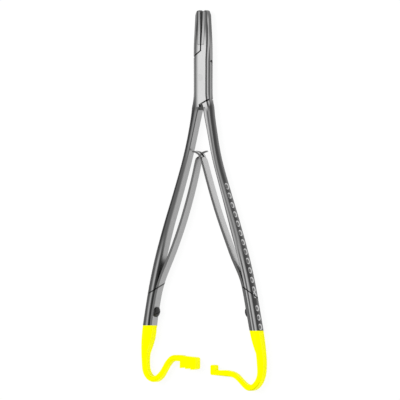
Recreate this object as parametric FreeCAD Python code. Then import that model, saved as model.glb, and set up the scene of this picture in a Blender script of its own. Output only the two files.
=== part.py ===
"""Needle holder with spring handles, a box lock and hooked ratchet ends.

Two forged limbs cross in a box lock and turn on one flush rivet. Each limb
runs from a jaw, through the lock, to a handle that ends in a hook. A leaf
spring is screwed to the inner face of each handle, and the free ends of the
two springs cross: the tongue of one passes through the fork of the other.

Frame: millimetres, +Y towards the jaws, +X to the right, +Z up. The origin is
on the rivet's axis, in the plane that the instrument lies on.
"""
import FreeCAD, Part
import os
from math import radians, sin
from typing import NamedTuple

from FreeCAD import Placement, Rotation, Vector

# Forged limbs
BODY_HEIGHT = 5.6
HOOK_HEIGHT = 4.4
ARM_HEIGHT = 3.5
NECK_THICKNESS = 3.1
GRIP_THICKNESS = 4.2
LEFT_HOOK_THICKNESS = 2.9
RIGHT_HOOK_THICKNESS = 3.9
LEFT_OUTER_BEVEL_SHARE = 0.42
LEFT_INNER_BEVEL_SHARE = 0.33
RIGHT_OUTER_BEVEL_SHARE = 0.2
RIGHT_INNER_BEVEL_SHARE = 0.46
BEVEL_DEPTH = 0.5

# Jaws
JAW_LENGTH = 35.3
JAW_HALF_WIDTH = 4.6
JAW_HEIGHT = 3.9
TIP_HALF_WIDTH = 4.1
TIP_HEIGHT = 3.2
TIP_END_HALF_WIDTH = 2.8
TIP_CORNER_LENGTH = 2.3
TIP_OUTER_RADIUS = 1.2
TIP_CHEEK_RADIUS = 2.5
TIP_INNER_RADIUS = 1.2
TIP_NOSE_RADIUS = 1.5
JAW_BEVEL_WIDTH = 1.4
JAW_BEVEL_DEPTH = 0.65
JAW_ROOT_BEVEL_WIDTH = 1.6
JAW_ROOT_BEVEL_DEPTH = 1.1
JAW_OPENING_DEG = 2.8
JAW_MEETING_GAP = 0.06

# Box lock
BOX_HALF_WIDTH = 5.05
BOX_SHOULDER_WIDTH = 1.85
BOX_SHOULDER_DEPTH = 1.5
SLIT_END = 14.2
UPPER_CORNER = 10.2
LOWER_CORNER = -11.3
SLOT_CORNER = 9.2
SHOULDER_GAP = 0.6
CROTCH_END = -14.3
CROTCH_HALF_WIDTH = 0.9
ROOT_HALF_WIDTH = 5.5
ROOT_END = -15.5
TONGUE_THICKNESS = 2.3
TONGUE_SIDE_CLEARANCE = 0.05
TONGUE_EDGE_CLEARANCE = 1.3
TONGUE_ROUNDING = 0.45
TONGUE_RECESS = 0.3
RIVET_RADIUS = 1.75
RIVET_CLEARANCE = 0.03

# Carbide inserts
INSERT_THICKNESS = 1.3
INSERT_END = 17.3
INSERT_CORNER_RADIUS = 0.9

# Leaf springs
SPRING_THICKNESS = 1.4
SPRING_TIP_THICKNESS = 0.9
SPRING_WIDTH = 5.2
SPRING_TIP_WIDTH = 4.8
SPRING_SEAT_CLEARANCE = 0.08
SPRING_END = -130.2
SPRING_LIFT_OFF = -113.0
SPRING_SEAT_ROWS = 6
SPRING_NARROW_END = -45.0
TONGUE_TIP_WIDTH = 1.3
FORK_CLEARANCE = 0.2

# Heels that carry on the line of each spring's inner face
HEEL_HEIGHT = 4.4
HEEL_GAP = 0.15
HEEL_FULL_END = -136.5
HEEL_HALF_END = -141.3
HEEL_END = -145.5

# Spring screws
SCREW_POSITION = -122.5
SCREW_HEAD_RADIUS = 2.7
SCREW_HEAD_EDGE = 0.6
SCREW_HEAD_RISE = 1.0
SCREW_SHANK_RADIUS = 1.2
SCREW_SHANK_DEPTH = 2.6
SCREW_HOLE_CLEARANCE = 0.1
SCREW_SLOT_WIDTH = 0.8
SCREW_SLOT_DEPTH = 0.7

# Grip dimples
DIMPLE_COUNT = 16
DIMPLE_FIRST = -57.6
DIMPLE_PITCH = 4.9
DIMPLE_BALL_RADIUS = 3.4
DIMPLE_DEPTH = 0.5

# Ratchet
BLOCK_LEFT = -13.4
BLOCK_RIGHT = -3.35
BLOCK_TOP = -146.0
BLOCK_TOP_FALL = 0.9
BLOCK_BOTTOM = -153.4
BLOCK_CORNER_RADIUS = 1.1
TOOTH_COUNT = 3
TOOTH_DEPTH = 0.9
TOOTH_RISE = 0.45
KNOB_LEFT = 5.7
KNOB_RIGHT = 8.5
KNOB_TOP = -150.7
KNOB_BOTTOM = -156.1
KNOB_RADIUS = 1.0

LOFT_DEGREE = 2
PLAN_TOLERANCE = 0.05
MID = BODY_HEIGHT / 2
ROOT_THICKNESS = ROOT_HALF_WIDTH - CROTCH_HALF_WIDTH
ROOT_CENTRE = CROTCH_HALF_WIDTH + ROOT_THICKNESS / 2
UP = Vector(0, 0, 1)
RIGHT = Vector(1, 0, 0)
FLANK = BOX_HALF_WIDTH + 1.0


class Station(NamedTuple):
    """A place on a limb's centre line, with the forging's section there."""

    x: float
    y: float
    thickness: float
    height: float


LEFT_HANDLE = [
    Station(-ROOT_CENTRE, ROOT_END, ROOT_THICKNESS, BODY_HEIGHT),
    Station(-3.95, -18.5, NECK_THICKNESS + 0.7, BODY_HEIGHT),
    Station(-4.9, -23.0, NECK_THICKNESS + 0.3, BODY_HEIGHT),
    Station(-6.6, -30.4, NECK_THICKNESS, BODY_HEIGHT),
    Station(-10.9, -46.2, NECK_THICKNESS, BODY_HEIGHT),
    Station(-17.0, -64.5, NECK_THICKNESS + 0.4, BODY_HEIGHT),
    Station(-24.1, -85.5, GRIP_THICKNESS - 0.2, BODY_HEIGHT),
    Station(-29.85, -106.5, GRIP_THICKNESS + 0.2, BODY_HEIGHT),
    Station(-33.95, -126.5, GRIP_THICKNESS, BODY_HEIGHT),
    Station(-35.15, -135.4, GRIP_THICKNESS + 0.3, BODY_HEIGHT),
    Station(-36.2, -143.5, LEFT_HOOK_THICKNESS + 0.7, HOOK_HEIGHT + 0.4),
    Station(-36.35, -149.5, LEFT_HOOK_THICKNESS + 0.1, HOOK_HEIGHT),
    Station(-35.75, -154.0, LEFT_HOOK_THICKNESS + 0.1, HOOK_HEIGHT),
    Station(-33.8, -157.1, LEFT_HOOK_THICKNESS, HOOK_HEIGHT),
    Station(-30.8, -158.4, LEFT_HOOK_THICKNESS + 0.1, HOOK_HEIGHT),
    Station(-27.8, -157.4, LEFT_HOOK_THICKNESS, HOOK_HEIGHT - 0.2),
    Station(-25.3, -154.9, LEFT_HOOK_THICKNESS - 0.2, ARM_HEIGHT + 0.4),
    Station(-23.0, -151.4, LEFT_HOOK_THICKNESS - 0.1, ARM_HEIGHT),
    Station(-20.3, -148.3, LEFT_HOOK_THICKNESS, ARM_HEIGHT),
    Station(-16.6, -147.2, LEFT_HOOK_THICKNESS + 0.3, ARM_HEIGHT),
    Station(-12.0, -147.5, LEFT_HOOK_THICKNESS + 0.2, ARM_HEIGHT),
]

RIGHT_HANDLE = [
    Station(ROOT_CENTRE, ROOT_END, ROOT_THICKNESS, BODY_HEIGHT),
    Station(3.85, -18.5, NECK_THICKNESS + 0.8, BODY_HEIGHT),
    Station(4.6, -23.0, NECK_THICKNESS + 0.5, BODY_HEIGHT),
    Station(6.1, -30.4, NECK_THICKNESS + 0.1, BODY_HEIGHT),
    Station(9.8, -46.2, NECK_THICKNESS - 0.1, BODY_HEIGHT),
    Station(15.85, -64.5, NECK_THICKNESS + 0.4, BODY_HEIGHT),
    Station(22.75, -85.5, GRIP_THICKNESS + 0.1, BODY_HEIGHT),
    Station(28.9, -106.5, GRIP_THICKNESS, BODY_HEIGHT),
    Station(33.2, -126.5, GRIP_THICKNESS, BODY_HEIGHT),
    Station(35.0, -135.4, GRIP_THICKNESS - 0.1, BODY_HEIGHT),
    Station(36.45, -143.5, RIGHT_HOOK_THICKNESS + 0.1, HOOK_HEIGHT + 0.6),
    Station(37.1, -151.0, RIGHT_HOOK_THICKNESS, HOOK_HEIGHT + 0.2),
    Station(36.75, -156.3, RIGHT_HOOK_THICKNESS - 0.5, HOOK_HEIGHT),
    Station(35.0, -160.0, RIGHT_HOOK_THICKNESS - 0.7, HOOK_HEIGHT),
    Station(32.6, -162.1, RIGHT_HOOK_THICKNESS - 0.8, HOOK_HEIGHT - 0.1),
    Station(29.9, -162.7, RIGHT_HOOK_THICKNESS - 0.9, HOOK_HEIGHT - 0.3),
    Station(27.0, -161.5, RIGHT_HOOK_THICKNESS - 1.3, ARM_HEIGHT + 0.2),
    Station(24.2, -159.1, RIGHT_HOOK_THICKNESS - 1.5, ARM_HEIGHT),
    Station(21.3, -156.7, RIGHT_HOOK_THICKNESS - 1.3, ARM_HEIGHT),
    Station(17.7, -155.4, RIGHT_HOOK_THICKNESS - 0.9, ARM_HEIGHT),
    Station(12.6, -155.0, RIGHT_HOOK_THICKNESS - 0.9, ARM_HEIGHT),
    Station(7.6, -154.7, RIGHT_HOOK_THICKNESS - 1.0, ARM_HEIGHT),
]

# Centre lines of the springs' free runs, from where they lift off to the tip
LEFT_SPRING_RUN = [(-26.0, -106.0), (-21.3, -96.0), (-16.55, -85.5), (-12.35, -75.0), (-8.75, -64.5),
                   (-5.6, -54.0), (-3.45, -46.2), (-2.1, -42.4), (-0.3, -40.4), (2.6, -39.3)]
RIGHT_SPRING_RUN = [(25.5, -106.0), (20.6, -96.0), (15.9, -85.5), (11.5, -75.0), (7.55, -64.5),
                    (4.0, -54.0), (1.4, -46.2), (-0.4, -42.2), (-2.3, -40.2), (-4.9, -39.1)]


class Route:
    """A smooth plane curve through given points, with its directions."""

    def __init__(self, points):
        """Interpolate the curve through the points, in order."""
        self.points = [Vector(x, y, MID) for x, y in points]
        self.curve = Part.BSplineCurve()
        self.curve.interpolate(self.points)

    def tangent(self, point):
        """Unit direction of travel at the place nearest to the point."""
        direction = Vector(self.curve.tangent(self.curve.parameter(point))[0])
        return direction.normalize()

    def at_y(self, y):
        """Point where the curve first comes down to a Y, and its direction."""
        low = self.curve.FirstParameter
        high = self.curve.parameter(min(self.points, key=lambda point: abs(point.y - y)))
        high = min(high + (self.curve.LastParameter - low) / len(self.points), self.curve.LastParameter)
        for _ in range(40):
            middle = (low + high) / 2
            if self.curve.value(middle).y > y:
                low = middle
            else:
                high = middle
        point = self.curve.value(low)
        return point, self.tangent(point)


def line_y(start, end, x):
    """Y at an X of the straight line through two plan points."""
    return start[1] + (end[1] - start[1]) * (x - start[0]) / (end[0] - start[0])


def ring(centre, outward, corners):
    """Closed wire of (outward, up) corners in the upright plane at a centre."""
    points = [centre + outward * u + UP * w for u, w in corners]
    return Part.makePolygon(points + points[:1])


def bevelled(thickness, height, outer, inner):
    """Corners of a bar's section; outer and inner are (width, depth) of bevels."""
    half = thickness / 2
    top = height / 2
    return [
        (half, outer[1] - top), (half, top - outer[1]), (half - outer[0], top), (inner[0] - half, top),
        (-half, top - inner[1]), (-half, inner[1] - top), (inner[0] - half, -top), (half - outer[0], -top),
    ]


def oblong(near, far, height):
    """Corners of a plain section between two distances from the centre line."""
    return [(near, -height / 2), (near, height / 2), (far, height / 2), (far, -height / 2)]


def loft(wires):
    """Solid skin through closed wires, smooth from each to the next."""
    return Part.makeLoft(wires, True, False, False, LOFT_DEGREE)


def prism(points, height=2 * BODY_HEIGHT):
    """Upright block over a plan polygon, centred on the middle plane."""
    low = MID - height / 2
    wire = Part.makePolygon([Vector(x, y, low) for x, y in points + points[:1]])
    return Part.Face(wire).extrude(UP * height)


def stands_over(point, corners):
    """Whether a point stands over one of the given plan corners."""
    return any(Vector(x - point.x, y - point.y, 0).Length < PLAN_TOLERANCE for x, y in corners)


def round_uprights(solid, radius, corners):
    """Round the upright edges that stand over the given plan corners."""
    edges = []
    for edge in solid.Edges:
        first = edge.Vertexes[0].Point
        last = edge.Vertexes[-1].Point
        if abs(last.z - first.z) > BODY_HEIGHT / 4 and stands_over(first, corners):
            edges.append(edge)
    return solid.makeFillet(radius, edges)


def round_ends(solid, radius, ends):
    """Round the level edges that run between the given pairs of plan corners."""
    edges = []
    for edge in solid.Edges:
        first = edge.Vertexes[0].Point
        last = edge.Vertexes[-1].Point
        level = abs(last.z - first.z) < PLAN_TOLERANCE
        ahead = any(stands_over(first, end[:1]) and stands_over(last, end[1:]) for end in ends)
        back = any(stands_over(last, end[:1]) and stands_over(first, end[1:]) for end in ends)
        if level and (ahead or back):
            edges.append(edge)
    return solid.makeFillet(radius, edges)


def outward_of(tangent, side):
    """Unit vector square to a route that runs down a limb, away from the middle."""
    return Vector(tangent.y, -tangent.x, 0) * -side


def thickness_at(stations, y):
    """Thickness of a handle at a Y between two of its stations."""
    for above, below in zip(stations, stations[1:]):
        if above.y >= y >= below.y:
            share = (above.y - y) / (above.y - below.y)
            return above.thickness + share * (below.thickness - above.thickness)
    raise ValueError("no station reaches this far down the handle")


def handle_route(stations):
    """Centre line of a handle and its hook."""
    return Route([(station.x, station.y) for station in stations])


def handle_bar(stations, side):
    """Bevelled bar along a handle and its hook; side is -1 left, 1 right."""
    route = handle_route(stations)
    outer_share = LEFT_OUTER_BEVEL_SHARE if side < 0 else RIGHT_OUTER_BEVEL_SHARE
    inner_share = LEFT_INNER_BEVEL_SHARE if side < 0 else RIGHT_INNER_BEVEL_SHARE
    wires = []
    for station, point in zip(stations, route.points):
        outer = (station.thickness * outer_share, BEVEL_DEPTH)
        inner = (station.thickness * inner_share, BEVEL_DEPTH)
        outward = RIGHT * side if point is route.points[0] else outward_of(route.tangent(point), side)
        wires.append(ring(point, outward, bevelled(station.thickness, station.height, outer, inner)))
    return loft(wires)


def heel(stations, side):
    """Pad below a spring's end that carries on the line of its inner face."""
    route = handle_route(stations)
    full = SPRING_THICKNESS
    rows = [
        (SPRING_END - HEEL_GAP, full),
        (HEEL_FULL_END, full),
        (HEEL_HALF_END, full / 2),
        (HEEL_END, -BEVEL_DEPTH),
    ]
    wires = []
    for y, pad in rows:
        point, tangent = route.at_y(y)
        half = thickness_at(stations, y) / 2
        wires.append(ring(point, outward_of(tangent, side), oblong(-BEVEL_DEPTH, -half - pad, HEEL_HEIGHT)))
    return loft(wires)


def dimples(stations, side):
    """Balls that scoop the row of grip dimples out of a handle's outer face."""
    route = handle_route(stations)
    balls = []
    for index in range(DIMPLE_COUNT):
        y = DIMPLE_FIRST - index * DIMPLE_PITCH
        point, tangent = route.at_y(y)
        reach = thickness_at(stations, y) / 2 - DIMPLE_DEPTH + DIMPLE_BALL_RADIUS
        ball = Part.makeSphere(DIMPLE_BALL_RADIUS)
        ball.Placement = Placement(point + outward_of(tangent, side) * reach, Rotation(UP, 90))
        balls.append(ball)
    return balls


def grip_x(y, side):
    """X of a jaw's grip face, which opens out from the rivet towards the tip."""
    return side * (JAW_MEETING_GAP + y * sin(radians(JAW_OPENING_DEG))) / 2


# Edges of the lock in plan, each a pair of points
UPPER_SHOULDER = ((-BOX_HALF_WIDTH, UPPER_CORNER), (grip_x(SLIT_END, 1), SLIT_END))
LOWER_SHOULDER = ((-CROTCH_HALF_WIDTH, CROTCH_END), (BOX_HALF_WIDTH, LOWER_CORNER))
UPPER_SLOT_END = ((grip_x(SLIT_END, 1), SLIT_END), (BOX_HALF_WIDTH, SLOT_CORNER))
LOWER_SLOT_END = ((-BOX_HALF_WIDTH, -SLOT_CORNER), (-CROTCH_HALF_WIDTH, CROTCH_END))


def blank():
    """Outer form of the jaws, the lock and the handle roots, as one piece."""
    right_root_bevel = (ROOT_THICKNESS * RIGHT_OUTER_BEVEL_SHARE, BEVEL_DEPTH)
    left_root_bevel = (ROOT_THICKNESS * LEFT_OUTER_BEVEL_SHARE, BEVEL_DEPTH)
    box_bevel = (BOX_SHOULDER_WIDTH, BOX_SHOULDER_DEPTH)
    jaw_bevel = (JAW_BEVEL_WIDTH, JAW_BEVEL_DEPTH)
    jaw_root_bevel = (JAW_ROOT_BEVEL_WIDTH, JAW_ROOT_BEVEL_DEPTH)
    tip_bevel = (JAW_BEVEL_WIDTH, BEVEL_DEPTH)
    rows = [
        (JAW_LENGTH + 1.0, TIP_HALF_WIDTH, TIP_HEIGHT, tip_bevel, tip_bevel),
        (0.85 * JAW_LENGTH, TIP_HALF_WIDTH + 0.2, TIP_HEIGHT + 0.3, tip_bevel, tip_bevel),
        (0.7 * JAW_LENGTH, JAW_HALF_WIDTH, JAW_HEIGHT, jaw_bevel, jaw_bevel),
        (SLIT_END + 1.8, BOX_HALF_WIDTH - 0.05, BODY_HEIGHT - 0.6, jaw_root_bevel, jaw_root_bevel),
        (SLOT_CORNER, BOX_HALF_WIDTH + 0.05, BODY_HEIGHT, box_bevel, box_bevel),
        (0.0, BOX_HALF_WIDTH, BODY_HEIGHT, box_bevel, box_bevel),
        (-SLOT_CORNER, BOX_HALF_WIDTH + 0.05, BODY_HEIGHT, box_bevel, box_bevel),
        (ROOT_END, ROOT_HALF_WIDTH, BODY_HEIGHT, right_root_bevel, left_root_bevel),
    ]
    wires = []
    for y, half, height, right, left in rows:
        wires.append(ring(Vector(0, y, MID), RIGHT, bevelled(2 * half, height, right, left)))
    return loft(wires).common(side_profile())


def side_profile():
    """Block over the side outline of jaws and lock, with the tips' nose rounded."""
    nose = TIP_HEIGHT / 2
    points = [(ROOT_END, BODY_HEIGHT), (SLIT_END, BODY_HEIGHT), (JAW_LENGTH, nose)]
    points += [(y, -w) for y, w in reversed(points)]
    wire = Part.makePolygon([Vector(-2 * FLANK, y, MID + w) for y, w in points + points[:1]])
    block = Part.Face(wire).extrude(RIGHT * 4 * FLANK)
    tips = [(-2 * FLANK, JAW_LENGTH), (2 * FLANK, JAW_LENGTH)]
    return round_ends(block, TIP_NOSE_RADIUS, [tips])


def rounded_zone(points, side):
    """Block over a limb's plan outline, with that limb's jaw tip rounded."""
    zone = prism(points)
    zone = round_uprights(zone, TIP_OUTER_RADIUS, [(side * TIP_END_HALF_WIDTH, JAW_LENGTH)])
    zone = round_uprights(zone, TIP_CHEEK_RADIUS, [(side * TIP_HALF_WIDTH, JAW_LENGTH - TIP_CORNER_LENGTH)])
    return round_uprights(zone, TIP_INNER_RADIUS, [(grip_x(JAW_LENGTH, side), JAW_LENGTH)])


def box_limb_zone():
    """Plan outline of the limb with the box: right jaw, plates, left root."""
    return rounded_zone([
        (grip_x(JAW_LENGTH, 1), JAW_LENGTH),
        (grip_x(SLIT_END, 1), SLIT_END),
        (-FLANK, line_y(*UPPER_SHOULDER, -FLANK)),
        (-FLANK, ROOT_END),
        (-CROTCH_HALF_WIDTH, ROOT_END),
        (-CROTCH_HALF_WIDTH, CROTCH_END),
        (FLANK, line_y(*LOWER_SHOULDER, FLANK)),
        (FLANK, SLIT_END),
        (TIP_HALF_WIDTH, JAW_LENGTH - TIP_CORNER_LENGTH),
        (TIP_END_HALF_WIDTH, JAW_LENGTH),
    ], 1)


def left_jaw_zone():
    """Plan outline of the through limb above the lock."""
    grip = grip_x(SLIT_END, -1)
    return rounded_zone([
        (grip_x(JAW_LENGTH, -1), JAW_LENGTH),
        (-TIP_END_HALF_WIDTH, JAW_LENGTH),
        (-TIP_HALF_WIDTH, JAW_LENGTH - TIP_CORNER_LENGTH),
        (-FLANK, SLIT_END),
        (-FLANK, line_y(*UPPER_SHOULDER, -FLANK) + SHOULDER_GAP),
        (grip, line_y(*UPPER_SHOULDER, grip) + SHOULDER_GAP),
    ], -1)


def right_root_zone():
    """Plan outline of the through limb below the lock."""
    return prism([
        (FLANK, line_y(*LOWER_SHOULDER, FLANK) - SHOULDER_GAP),
        (CROTCH_HALF_WIDTH, line_y(*LOWER_SHOULDER, CROTCH_HALF_WIDTH) - SHOULDER_GAP),
        (CROTCH_HALF_WIDTH, ROOT_END),
        (FLANK, ROOT_END),
    ])


def lock_slot():
    """Space in the middle of the box that the tongue passes through."""
    height = TONGUE_THICKNESS + 2 * TONGUE_SIDE_CLEARANCE
    points = [
        (grip_x(SLIT_END, 1), SLIT_END),
        (FLANK, line_y(*UPPER_SLOT_END, FLANK)),
        (FLANK, ROOT_END),
        (-CROTCH_HALF_WIDTH, ROOT_END),
        (-CROTCH_HALF_WIDTH, CROTCH_END),
        (-FLANK, line_y(*LOWER_SLOT_END, -FLANK)),
        (-FLANK, SLIT_END + 1.0),
        (grip_x(SLIT_END, 1), SLIT_END + 1.0),
    ]
    return round_ends(prism(points, height), height * TONGUE_ROUNDING, [points[0:2], points[4:6]])


def tongue():
    """Flat middle of the through limb, between its jaw and its handle."""
    edge = BOX_HALF_WIDTH - TONGUE_RECESS
    grip = grip_x(SLIT_END, -1)
    points = [
        (-edge, line_y(*UPPER_SHOULDER, -edge) + 2 * SHOULDER_GAP),
        (grip, line_y(*UPPER_SHOULDER, grip) + 2 * SHOULDER_GAP),
        (grip, line_y(*UPPER_SLOT_END, grip) - TONGUE_EDGE_CLEARANCE),
        (edge, line_y(*UPPER_SLOT_END, edge) - TONGUE_EDGE_CLEARANCE),
        (edge, line_y(*LOWER_SHOULDER, edge) - 2 * SHOULDER_GAP),
        (CROTCH_HALF_WIDTH, ROOT_END),
        (CROTCH_HALF_WIDTH, line_y(*LOWER_SLOT_END, CROTCH_HALF_WIDTH) + TONGUE_EDGE_CLEARANCE),
        (-edge, line_y(*LOWER_SLOT_END, -edge) + TONGUE_EDGE_CLEARANCE),
    ]
    plate = prism(points, TONGUE_THICKNESS)
    return round_ends(plate, TONGUE_THICKNESS * TONGUE_ROUNDING, [points[2:4], points[6:8]])


def insert_zone(side):
    """Plan strip along a jaw's grip face that the carbide fills."""
    outer = grip_x(INSERT_END, side) + side * INSERT_THICKNESS
    tip = grip_x(JAW_LENGTH, side) + side * INSERT_THICKNESS
    strip = prism([
        (0.0, INSERT_END),
        (outer, INSERT_END),
        (tip, JAW_LENGTH + 1.0),
        (0.0, JAW_LENGTH + 1.0),
    ])
    return round_uprights(strip, INSERT_CORNER_RADIUS, [(outer, INSERT_END)])


def planed(solid):
    """The solid with its underside and top planed flat at the body's height."""
    box = solid.BoundBox
    stock = Part.makeBox(box.XLength, box.YLength, BODY_HEIGHT, Vector(box.XMin, box.YMin, 0))
    return solid.common(stock)


def upright_pin(radius):
    """Round bar on the rivet's axis, through the whole lock."""
    return Part.makeCylinder(radius, 2 * BODY_HEIGHT, Vector(0, 0, MID - BODY_HEIGHT))


def catch_block():
    """Block on the left hook, with saw teeth along its lower edge."""
    pitch = (BLOCK_RIGHT - BLOCK_LEFT) / TOOTH_COUNT
    points = [(BLOCK_LEFT, BLOCK_TOP), (BLOCK_RIGHT, BLOCK_TOP - BLOCK_TOP_FALL)]
    points.append((BLOCK_RIGHT, BLOCK_BOTTOM + TOOTH_RISE))
    for tooth in range(TOOTH_COUNT):
        x = BLOCK_RIGHT - (tooth + 1) * pitch
        lowest = BLOCK_BOTTOM + tooth * TOOTH_RISE
        points.append((x, lowest))
        if tooth < TOOTH_COUNT - 1:
            points.append((x, lowest + TOOTH_DEPTH))
    block = prism(points, HOOK_HEIGHT)
    return round_uprights(block, BLOCK_CORNER_RADIUS, points[1:3])


def catch_knob():
    """Upturned end of the right hook, which drops in behind a tooth."""
    left = [(KNOB_LEFT, KNOB_BOTTOM), (KNOB_LEFT, KNOB_TOP)]
    right = [(KNOB_RIGHT, KNOB_TOP), (KNOB_RIGHT, KNOB_BOTTOM)]
    return round_uprights(prism(left + right, ARM_HEIGHT), KNOB_RADIUS, left + right[:1])


def spring_route(stations, side, run):
    """Centre line of a leaf spring, from its seat on the handle to its tip."""
    route = handle_route(stations)
    seat = []
    for row in range(SPRING_SEAT_ROWS):
        y = SPRING_END + (SPRING_LIFT_OFF - SPRING_END) * row / (SPRING_SEAT_ROWS - 1)
        point, tangent = route.at_y(y)
        inset = thickness_at(stations, y) / 2 + SPRING_THICKNESS / 2 + SPRING_SEAT_CLEARANCE
        place = point - outward_of(tangent, side) * inset
        seat.append((place.x, place.y))
    return Route(seat + run)


def leaf(stations, side, run):
    """Leaf spring of full width that thins and narrows towards its tip."""
    route = spring_route(stations, side, run)
    wires = []
    for index, point in enumerate(route.points):
        share = max(0, index - SPRING_SEAT_ROWS) / (len(run) - 1)
        thickness = SPRING_THICKNESS + share * (SPRING_TIP_THICKNESS - SPRING_THICKNESS)
        width = SPRING_WIDTH + share * (SPRING_TIP_WIDTH - SPRING_WIDTH)
        across = Vector(route.tangent(point).y, -route.tangent(point).x, 0)
        wires.append(ring(point, across, oblong(-thickness / 2, thickness / 2, width)))
    return loft(wires).cut(screw_bore(stations, side, SCREW_SHANK_RADIUS + SCREW_HOLE_CLEARANCE))


def tip_band(width):
    """Block around the springs' crossing ends, of a width about the middle."""
    low = Vector(-2 * FLANK, SPRING_NARROW_END, MID - width / 2)
    return Part.makeBox(4 * FLANK, -SPRING_NARROW_END, width, low)


def screw_frame(stations, side):
    """Placement on a handle's inner face under the screw, +Z to the middle."""
    point, tangent = handle_route(stations).at_y(SCREW_POSITION)
    inward = outward_of(tangent, side) * -1
    face = point + inward * (thickness_at(stations, SCREW_POSITION) / 2)
    return Placement(face, Rotation(UP, inward))


def screw_bore(stations, side, radius):
    """Round bar in the screw's place, through the spring into the handle."""
    length = SCREW_SHANK_DEPTH + SPRING_THICKNESS + 2 * SPRING_SEAT_CLEARANCE
    bar = Part.makeCylinder(radius, length, Vector(0, 0, -SCREW_SHANK_DEPTH))
    bar.Placement = screw_frame(stations, side)
    return bar


def spring_screw(stations, side):
    """Domed screw with a driver slot, its head seated on the spring."""
    seat = SPRING_THICKNESS + 2 * SPRING_SEAT_CLEARANCE
    top = SCREW_HEAD_EDGE + SCREW_HEAD_RISE
    ball = (SCREW_HEAD_RADIUS ** 2 + SCREW_HEAD_RISE ** 2) / (2 * SCREW_HEAD_RISE)
    head = Part.makeCylinder(SCREW_HEAD_RADIUS, top, Vector(0, 0, seat))
    head = head.common(Part.makeSphere(ball, Vector(0, 0, seat + top - ball), RIGHT))
    slot = Part.makeBox(4 * SCREW_HEAD_RADIUS, SCREW_SLOT_WIDTH, top)
    slot.translate(Vector(-2 * SCREW_HEAD_RADIUS, -SCREW_SLOT_WIDTH / 2, seat + top - SCREW_SLOT_DEPTH))
    head = head.cut(slot)
    head.Placement = screw_frame(stations, side)
    return head.fuse(screw_bore(stations, side, SCREW_SHANK_RADIUS))


def box_limb():
    """Right jaw, box, left handle, left hook and catch block, in one forging."""
    body = blank().common(box_limb_zone()).cut(lock_slot())
    body = body.cut(insert_zone(1)).cut(upright_pin(RIVET_RADIUS))
    grip = handle_bar(LEFT_HANDLE, -1).cut(dimples(LEFT_HANDLE, -1))
    limb = body.fuse([grip, heel(LEFT_HANDLE, -1), catch_block()])
    return planed(limb.cut(screw_bore(LEFT_HANDLE, -1, SCREW_SHANK_RADIUS))).removeSplitter()


def through_limb():
    """Left jaw, tongue, right handle, right hook and knob, in one forging."""
    outer = blank()
    jaw = outer.common(left_jaw_zone()).cut(insert_zone(-1))
    root = outer.common(right_root_zone())
    grip = handle_bar(RIGHT_HANDLE, 1).cut(dimples(RIGHT_HANDLE, 1))
    limb = tongue().fuse([jaw, root, grip, heel(RIGHT_HANDLE, 1), catch_knob()])
    limb = limb.cut(upright_pin(RIVET_RADIUS + RIVET_CLEARANCE))
    return planed(limb.cut(screw_bore(RIGHT_HANDLE, 1, SCREW_SHANK_RADIUS))).removeSplitter()


def jaw_insert(side):
    """Carbide facing of one jaw, let in flush with the steel round it."""
    zone = box_limb_zone() if side > 0 else left_jaw_zone()
    return blank().common(zone).common(insert_zone(side))


def pivot_rivet():
    """Flush rivet that the through limb turns on."""
    return Part.makeCylinder(RIVET_RADIUS, BODY_HEIGHT)


def left_leaf_spring():
    """Spring whose free end narrows to a tongue."""
    spring = leaf(LEFT_HANDLE, -1, LEFT_SPRING_RUN)
    return spring.cut(tip_band(2 * BODY_HEIGHT).cut(tip_band(TONGUE_TIP_WIDTH)))


def right_leaf_spring():
    """Spring whose free end is forked to let the other's tongue through."""
    spring = leaf(RIGHT_HANDLE, 1, RIGHT_SPRING_RUN)
    return spring.cut(tip_band(TONGUE_TIP_WIDTH + 2 * FORK_CLEARANCE))


def main():
    """Write each piece of the instrument to its own file."""
    pieces = {
        "box_limb": box_limb(),
        "through_limb": through_limb(),
        "pivot_rivet": pivot_rivet(),
        "right_jaw_insert": jaw_insert(1),
        "left_jaw_insert": jaw_insert(-1),
        "left_leaf_spring": left_leaf_spring(),
        "right_leaf_spring": right_leaf_spring(),
        "left_spring_screw": spring_screw(LEFT_HANDLE, -1),
        "right_spring_screw": spring_screw(RIGHT_HANDLE, 1),
    }
    os.makedirs("parts", exist_ok=True)
    for name, shape in pieces.items():
        shape.exportStep(f"parts/{name}.step")
        print(name, len(shape.Solids), shape.isValid(), round(shape.Volume, 1), shape.BoundBox)


main()
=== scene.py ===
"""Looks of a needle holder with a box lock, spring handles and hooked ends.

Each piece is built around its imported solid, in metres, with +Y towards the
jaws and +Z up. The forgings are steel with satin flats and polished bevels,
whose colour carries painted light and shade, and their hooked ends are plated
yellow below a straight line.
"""

import logging
from dataclasses import dataclass
from enum import Enum
from math import cos, radians, sin
from typing import List, Optional, Sequence, Tuple, Union

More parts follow.
